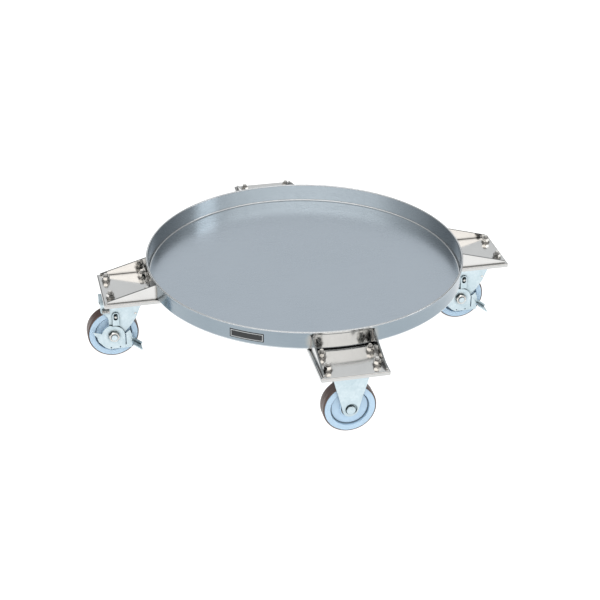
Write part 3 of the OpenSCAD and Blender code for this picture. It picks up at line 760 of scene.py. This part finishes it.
def makeRigidAxles(size):
    radius, leg, headLow = size["radius"], size["leg"], size["leg"] - size["sink"]
    headRadius, headSide, headRound = size["headRadius"], headLow + size["headSide"], size["headRound"]
    tip = leg + size["nutHigh"] + size["tail"]
    thread = [(ring, -height) for ring, height in reversed(
        threadRings(radius, size["threadDepth"], size["pitch"], leg - 0.001, tip))]
    head = [(radius, headLow), (headRadius, headLow), (headRadius, headSide)]
    head += arcRings(headRadius - headRound, headSide, headRound, 0, 75, 4)
    head += [(headRadius - size["domeEdge"], headLow + size["domeSide"]),
             (0.0002, headLow + size["domeTop"])]
    pin = turnedPiece("pin", thread + head, 40, solid=True)
    nut = moved(nutPiece(size, size["nutFlats"], size["nutHigh"]),
                Matrix.Translation((0, 0, -leg)) @ Matrix.Rotation(math.pi, 4, "X"))
    outer, half = size["sleeve"], size["sleeveHalf"]
    tube = [(radius, -half), (outer, -half), (outer, half), (radius, half), (radius, -half)]
    sleeve = turnedPiece("sleeve", tube, 32)
    handInAxles(rigidSides, {"AxlePin": pin, "AxleNut": nut, "AxleSleeve": sleeve})
    drop(pin, nut)
    return sleeve


def handInAxles(sides, parts):
    for side in sides:
        for (called, part), ending in zip(parts.items(), ("_axle", "_axle_nut", "_axle_sleeve")):
            handIn(twin(part, side + called, onAxle(side)), side + ending)


def makeSwivelAxles(size, sleeve):
    radius, leg, shoulder = size["radius"], size["leg"], size["shoulder"]
    nutLow = size["leverOut"] + size["play"]
    tip = nutLow + size["nutHigh"] + size["tail"]
    thread = threadRings(radius, size["threadDepth"], size["pitch"], leg + 0.001, tip)
    shank = turnedPiece("shank", [(radius, -leg - 0.001), (radius, leg)] + thread, 40, solid=True)
    head = moved(hexPiece("head", size["nutFlats"], size["nutHigh"]),
                 Matrix.Translation((0, 0, -leg - size["nutHigh"])))
    bolt = join("bolt", shank, head)
    bore, high = radius + 0.0002, leg + size["shoulderHigh"]
    washerFace = turnedPiece("washerFace", [
        (bore, leg), (shoulder - 0.0002, leg), (shoulder, leg + 0.0002), (shoulder, high), (bore, high),
        (bore, leg)], 40)
    nut = moved(nutPiece(size, size["nutFlats"], size["nutHigh"]),
                Matrix.Translation((0, 0, nutLow)) @ Matrix.Rotation(size["nutSpin"], 4, "Z"))
    nut = join("nut", washerFace, nut)
    handInAxles(swivelSides, {"AxleBolt": bolt, "AxleNut": nut, "AxleSleeve": sleeve})
    drop(bolt, nut, sleeve)


makeSwivelAxles(axle, makeRigidAxles(axle))
print("axles made")

# Forks: pressed legs with rolled edges under a plate, modelled in the caster's own frame
fork = {"legIn": 0.017, "sheet": 0.003, "endRadius": 0.015, "roll": 0.0013, "plateHigh": 0.004,
        "plateLow": -0.009, "plateEdge": 0.0006, "weld": 0.0018, "weldIn": 0.0006, "rigidHalf": 0.038,
        "rigidPlate": (0.114, 0.068), "headSeat": 0.0112, "seatDepth": 0.0021,
        "seatShift": (-0.0010, -0.0013), "crown": 0.034, "crownLow": -0.0242, "lead": 0.026, "back": 0.023,
        "armStart": 0.012,
        "race": (0.020, 0.028), "raceHigh": 0.003, "groove": (0.024, 0.0012, 0.0018), "bore": 0.00606,
        "pockets": (-0.0046, -0.0137), "pocket": (0.0062, 0.0044, 0.0036), "pocketEdge": 0.0008}


def legOutlines(size):
    half, plateLow, crownLow = size["rigidHalf"], size["plateLow"], size["crownLow"]
    toPlate, toCrown, end = plateLow - axleHeight, crownLow - axleHeight, size["endRadius"]
    rigidRight = [(half * 0.62, axleHeight + toPlate * 0.36), (half * 0.70, axleHeight + toPlate * 0.48),
                  (half * 0.76, axleHeight + toPlate * 0.58), (half, plateLow + 0.0002)]
    rigid = arcRings(0, axleHeight, end, -166, -14, 22) + rigidRight
    rigid += [(-x, z) for x, z in reversed(rigidRight)]
    lead, back, step = size["lead"], trail + size["back"], trail + end * 0.6
    behind = [(step + 0.0012, 0.20), (step, 0.34), (step, 0.50), (step + 0.0022, 0.58),
              (back - 0.008, 0.66), (back - 0.0015, 0.71), (back, 0.76)]
    ahead = [(-lead * 0.93, 0.86), (-lead * 0.76, 0.71), (-lead * 0.55, 0.50), (-lead * 0.1, 0.25)]
    swivel = arcRings(trail, axleHeight, end, -150, -12, 20)
    swivel += [(x, axleHeight + toCrown * share) for x, share in behind]
    swivel += [(back, crownLow + 0.0002), (-lead, crownLow + 0.0002)]
    return rigid, swivel + [(x, axleHeight + toCrown * share) for x, share in ahead]


def makeLegs(name, outline, size):
    legs = []
    for lowSide in (size["legIn"], -size["legIn"] - size["sheet"]):
        leg = outlinePiece(name, outline, lowSide, size["sheet"])
        soften(leg, size["roll"], 4, 50)
        legs.append(leg)
    return legs


# Two welds between the legs and the plate over them, from one X to another
def footWelds(size, start, end, height):
    ropes = []
    for line in (size["legIn"] - size["weldIn"], size["weldIn"] - size["legIn"]):
        run = Vector((end, line, height)) - Vector((start, line, height))
        rope = turnedPiece("fillet", [(size["weld"], 0), (size["weld"], run.length)], 16, solid=True)
        soften(rope, size["weld"] * 0.6, 3, 60)
        ropes.append(laidAlong(rope, (start, line, height), run))
    return ropes


def makeRigidForks(size, outline):
    legs = makeLegs("rigidLeg", outline, size)
    shiftX, shiftZ = size["seatShift"]
    seatLow = size["legIn"] + size["sheet"] - size["seatDepth"]
    seat = turnedPiece("seat", [(size["headSeat"], seatLow), (size["headSeat"], 0.03)], 40, solid=True)
    cutWith(legs[0], moved(seat, Matrix.Translation((shiftX, 0, axleHeight - shiftZ)) @ axleTurn))
    width, depth = size["rigidPlate"]
    high = size["plateHigh"]
    plate = block("plate", (width, depth, high), (0, 0, size["plateLow"] + high / 2), size["plateEdge"])
    half = size["rigidHalf"] - 0.004
    whole = join("rigidFork", *legs, plate, *footWelds(size, -half, half, size["plateLow"] - 0.0004))
    for side in rigidSides:
        handIn(twin(whole, side + "Fork", stations[side]), side + "_fork")
    drop(whole)


def makeSwivelForks(size, outline):
    legs = makeLegs("swivelLeg", outline, size)
    slideLow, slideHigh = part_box("left_lock_slide")
    slideMiddle = -(slideLow.x + slideHigh.x) / 2 - stationRadius
    for pocket in size["pockets"]:
        at = (slideMiddle, size["legIn"] + size["sheet"], slideHigh.z + pocket)
        cutWith(legs[0], block("pocket", size["pocket"], at, size["pocketEdge"]))
    low, high = size["crownLow"], size["crownLow"] + size["sheet"]
    inner, outer = size["race"]
    crownEdge, bore, top = size["crown"], size["bore"], high + size["raceHigh"]
    ballRing, grooveDepth, lip = size["groove"]
    crown = turnedPiece("crown", [
        (bore, low), (crownEdge - 0.0006, low), (crownEdge, low + 0.0006), (crownEdge, high - 0.0008),
        (crownEdge - 0.0008, high), (outer + 0.0006, high), (outer, high + 0.0006), (outer, top),
        (outer - lip, top), (ballRing, top - grooveDepth), (inner + lip, top), (inner, top), (inner, high),
        (bore, high), (bore, low)], 72)
    lead, reach, full = size["lead"], trail + size["back"], 2 * (size["legIn"] + size["sheet"])
    arms = [block("arm", (far - near, full, size["sheet"] - 0.0002),
                  ((near + far) / 2, 0, low + size["sheet"] / 2), size["roll"] * 0.7, 3)
            for near, far in ((size["armStart"], reach), (-lead, -size["armStart"]))]
    ropes = footWelds(size, -lead + 0.003, reach - 0.003, low - 0.0003)
    whole = join("swivelFork", *legs, crown, *arms, *ropes)
    for side in swivelSides:
        handIn(twin(whole, side + "Fork", stations[side]), side + "_fork", 40)
    drop(whole)


rigidOutline, swivelOutline = legOutlines(fork)
makeRigidForks(fork, rigidOutline)
makeSwivelForks(fork, swivelOutline)
print("forks made")

# Swivel heads, brake levers and shoes keep their CAD shape with broken edges
broken = {"_swivel_plate": ("SwivelPlate", 0.0005), "_kingpin": ("Kingpin", 0.0004),
          "_brake_lever": ("BrakeLever", 0.0005), "_brake_shoe": ("BrakeShoe", 0.0006)}
for side in swivelSides:
    for ending, (called, edge) in broken.items():
        handIn(brokenEdgeCopy(side + ending, side + called, edge), side + ending)

# Slide: a tongue with a window, held by a domed stud whose bar shows through
slide = {"width": 0.013, "windowWide": 0.0080, "windowHigh": 0.0066, "windowDown": 0.0092,
         "windowDeep": 0.02, "edge": 0.0004}


def makeSlides(size):
    for side in swivelSides:
        low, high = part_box(side + "_lock_slide")
        middle, half = (low.x + high.x) / 2, size["width"] / 2
        outline = [(middle - half, low.z), (middle + half, low.z)]
        outline += arcRings(middle, high.z - half, half, 0, 180, 16)
        tongue = outlinePiece("tongue", outline, low.y, high.y - low.y)
        wide = size["windowWide"]
        window = block("window", (wide, size["windowDeep"], size["windowHigh"] + wide),
                       (middle, low.y, high.z - size["windowDown"]), wide * 0.49, 6)
        cutWith(tongue, window)
        soften(tongue, size["edge"], 2, 40)
        handIn(tongue, side + "_lock_slide")


makeSlides(slide)

# Fork pins: a domed stud in the slide's window, and the pin that the shoe turns on, set from the axle
forkPins = {"stud": 0.0026, "studLong": 0.0055, "studHead": 0.0030, "studDown": 0.009, "sink": 0.0002,
            "reach": 0.062, "turn": 135,
            "pin": [(0.0019, -0.0205), (0.0025, -0.0200), (0.0025, 0.0200), (0.0019, 0.0205)]}


def makeForkPins(size):
    turn = math.radians(size["turn"])
    pinX, pinZ = trail + size["reach"] * math.cos(turn), axleHeight + size["reach"] * math.sin(turn)
    studSide = [(size["stud"], 0), (size["stud"], size["studLong"])]
    studSide += arcRings(0, size["studLong"], size["studHead"], 0, 80, 6)
    for side in swivelSides:
        low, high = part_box(side + "_lock_slide")
        face = high.y + (high.y - low.y) - size["sink"]
        stud = moved(turnedPiece("stud", studSide, 32, solid=True),
                     Matrix.Translation(((low.x + high.x) / 2, face, high.z - size["studDown"]))
                     @ Matrix.Rotation(math.radians(90), 4, "X"))
        pin = moved(turnedPiece("pin", size["pin"], 24, solid=True),
                    stations[side] @ Matrix.Translation((pinX, 0, pinZ)) @ axleTurn)
        handIn(join(side + "ForkPins", stud, pin), side + "_fork_pins")


makeForkPins(forkPins)
print("brakes made")

# Springs: round wire wound by the screw modifier, the ends closed
spring = {"coil": 0.0034, "wire": 0.0007, "turns": 6, "length": 0.014}


def makeSprings(size):
    bpy.ops.object.select_all(action="DESELECT")
    bpy.ops.mesh.primitive_circle_add(vertices=10, radius=size["wire"], rotation=(math.radians(90), 0, 0))
    coil = bpy.context.object
    bpy.ops.object.transform_apply(location=True, rotation=True, scale=True)
    moved(coil, Matrix.Translation((size["coil"], 0, 0)))
    addModifier(coil, "SCREW", axis="Z", angle=2 * math.pi * size["turns"], screw_offset=size["length"],
                steps=24 * size["turns"], render_steps=24 * size["turns"], use_merge_vertices=False)
    pick(coil)
    bpy.ops.object.mode_set(mode="EDIT")
    bpy.ops.mesh.select_all(action="DESELECT")
    bpy.ops.mesh.select_mode(type="EDGE")
    bpy.ops.mesh.select_non_manifold()
    bpy.ops.mesh.fill_holes(sides=12)
    bpy.ops.mesh.select_all(action="SELECT")
    bpy.ops.mesh.normals_make_consistent(inside=False)
    bpy.ops.object.mode_set(mode="OBJECT")
    for side in swivelSides:
        low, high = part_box(side + "_lock_spring")
        start = Vector((low.x + size["wire"], (low.y + high.y) / 2, (low.z + high.z) / 2))
        place = Matrix.Translation(start) @ Matrix.Rotation(math.radians(90), 4, "Y")
        handIn(twin(coil, side + "LockSpring", place), side + "_lock_spring", 60)
    drop(coil)


makeSprings(spring)

# Balls in the swivel heads
ball = {"ring": 0.024, "radius": 0.003, "count": 18}


def makeBalls(size):
    for side in swivelSides:
        height = middleOf(side + "_swivel_balls").z
        balls = []
        for index in range(size["count"]):
            angle = 2 * math.pi * index / size["count"]
            place = Vector((size["ring"] * math.cos(angle), size["ring"] * math.sin(angle), height))
            bpy.ops.object.select_all(action="DESELECT")
            bpy.ops.mesh.primitive_ico_sphere_add(subdivisions=3, radius=size["radius"],
                                                  location=stations[side] @ place)
            balls.append(bpy.context.object)
        whole = join(side + "SwivelBalls", *balls)
        bpy.ops.object.transform_apply(location=True, rotation=True, scale=True)
        handIn(whole, side + "_swivel_balls", 60)


makeBalls(ball)
print("springs and balls made")

# Camera: it stands off the front-left of the tray, a long lens, tilted a hair
camera = {"turn": -13.27, "elevation": 29.47, "distance": 3.1286, "side": -0.008, "height": -0.0726,
          "roll": 0.53, "lens": 94.2, "sensor": 36, "farthest": 50}


def placeCamera(setting):
    turn, rise = math.radians(setting["turn"]), math.radians(setting["elevation"])
    back = Vector((math.sin(turn) * math.cos(rise), -math.cos(turn) * math.cos(rise), math.sin(rise)))
    right = Vector((math.cos(turn), math.sin(turn), 0))
    target = right * setting["side"] + Vector((0, 0, setting["height"]))
    up = back.cross(right)
    roll = math.radians(setting["roll"])
    rolledRight = right * math.cos(roll) + up * math.sin(roll)
    rolledUp = up * math.cos(roll) - right * math.sin(roll)
    data = bpy.data.cameras.new("camera")
    data.lens = setting["lens"]
    data.sensor_width = setting["sensor"]
    data.clip_end = setting["farthest"]
    piece = bpy.data.objects.new("camera", data)
    turned = Matrix((rolledRight, rolledUp, back)).transposed()
    piece.matrix_world = Matrix.Translation(target + back * setting["distance"]) @ turned.to_4x4()
    bpy.context.scene.collection.objects.link(piece)
    bpy.context.scene.camera = piece


placeCamera(camera)
bpy.context.scene.view_settings.view_transform = "Standard"
print("camera placed")

# Studio: a white floor, a dim horizon, a grey room overhead and a wide warm light band in front
studio = {"floorSize": 16, "floorDark": (0.39, 0.39, 0.39), "floorLight": (0.41, 0.41, 0.41),
          "floorGlow": 0.95, "axis": (-0.2296, -0.9733),
          "room": [(0.0, 0.12), (0.5, 0.12), (0.57, 0.20), (0.66, 0.82), (0.73, 1.0), (0.87, 1.1),
                   (1.0, 1.15)],
          "roomColour": (0.99, 1.0, 1.01), "frontColour": (2.35, 2.19, 2.07),
          "roomSpread": [(0.0, 1.0), (0.015, 1.0), (0.08, 0.33), (0.28, 0.37), (0.6, 0.55), (1.0, 0.55)],
          "frontRise": [(0.28, 0.0), (0.40, 1.0), (0.57, 1.0), (0.70, 0.0)],
          "frontSpread": [(0.07, 0.0), (0.27, 0.07), (0.63, 0.36), (0.79, 0.80), (1.0, 1.0)],
          "lights": [
              {"name": "topBox", "at": (0.0, 0.3, 3.2), "size": (2.6, 2.6), "watts": 9},
              {"name": "sideBox", "at": (3.4, -1.2, 1.4), "size": (1.2, 1.2), "watts": 10}]}


def buildStudio(setting):
    bpy.ops.object.select_all(action="DESELECT")
    bpy.ops.mesh.primitive_plane_add(size=setting["floorSize"], location=(0, 0, cadBounds[0][2]))
    floor = bpy.context.object
    floor.name = "studioFloor"
    material, shader, place = startMaterial("paleFloor", Roughness=0.95)
    blendColour(noise(place, 2), setting["floorDark"], setting["floorLight"]).into(shader, "Base Color")
    shader.inputs["Emission Color"].default_value = (1, 1, 1, 1)
    shader.inputs["Emission Strength"].default_value = setting["floorGlow"]
    floor.data.materials.append(material)
    for light in setting["lights"]:
        data = bpy.data.lights.new(light["name"], "AREA")
        data.shape = "RECTANGLE"
        data.size, data.size_y = light["size"]
        data.energy = light["watts"]
        lamp = bpy.data.objects.new(light["name"], data)
        lamp.location = light["at"]
        lamp.rotation_euler = (-Vector(light["at"])).to_track_quat("-Z", "Y").to_euler()
        bpy.context.scene.collection.objects.link(lamp)
    world = bpy.data.worlds.new("room")
    world.use_nodes = True
    tree = world.node_tree
    x, y, z = split(Wire(tree, tree.nodes.new("ShaderNodeTexCoord").outputs["Generated"]))
    level = (z * 0.5 + 0.5).ramp(*setting["room"])
    flat = x.maths("SQRT", 1.0001 - z ** 2)
    toFront = (x * setting["axis"][0] + y * setting["axis"][1]) / flat
    level = level * (toFront * 0.5 + 0.5).ramp(*setting["roomSpread"])
    band = z.ramp(*setting["frontRise"]) * (toFront * 0.5 + 0.5).ramp(*setting["frontSpread"])
    room = blendColour(level, (0, 0, 0), setting["roomColour"])
    front = blendColour(band, (0, 0, 0), setting["frontColour"])
    both = room.node("ShaderNodeVectorMath", {"operation": "ADD"}, {0: room, 1: front})
    both.into(tree.nodes["Background"], "Color")
    bpy.context.scene.world = world


buildStudio(studio)
print("studio built")
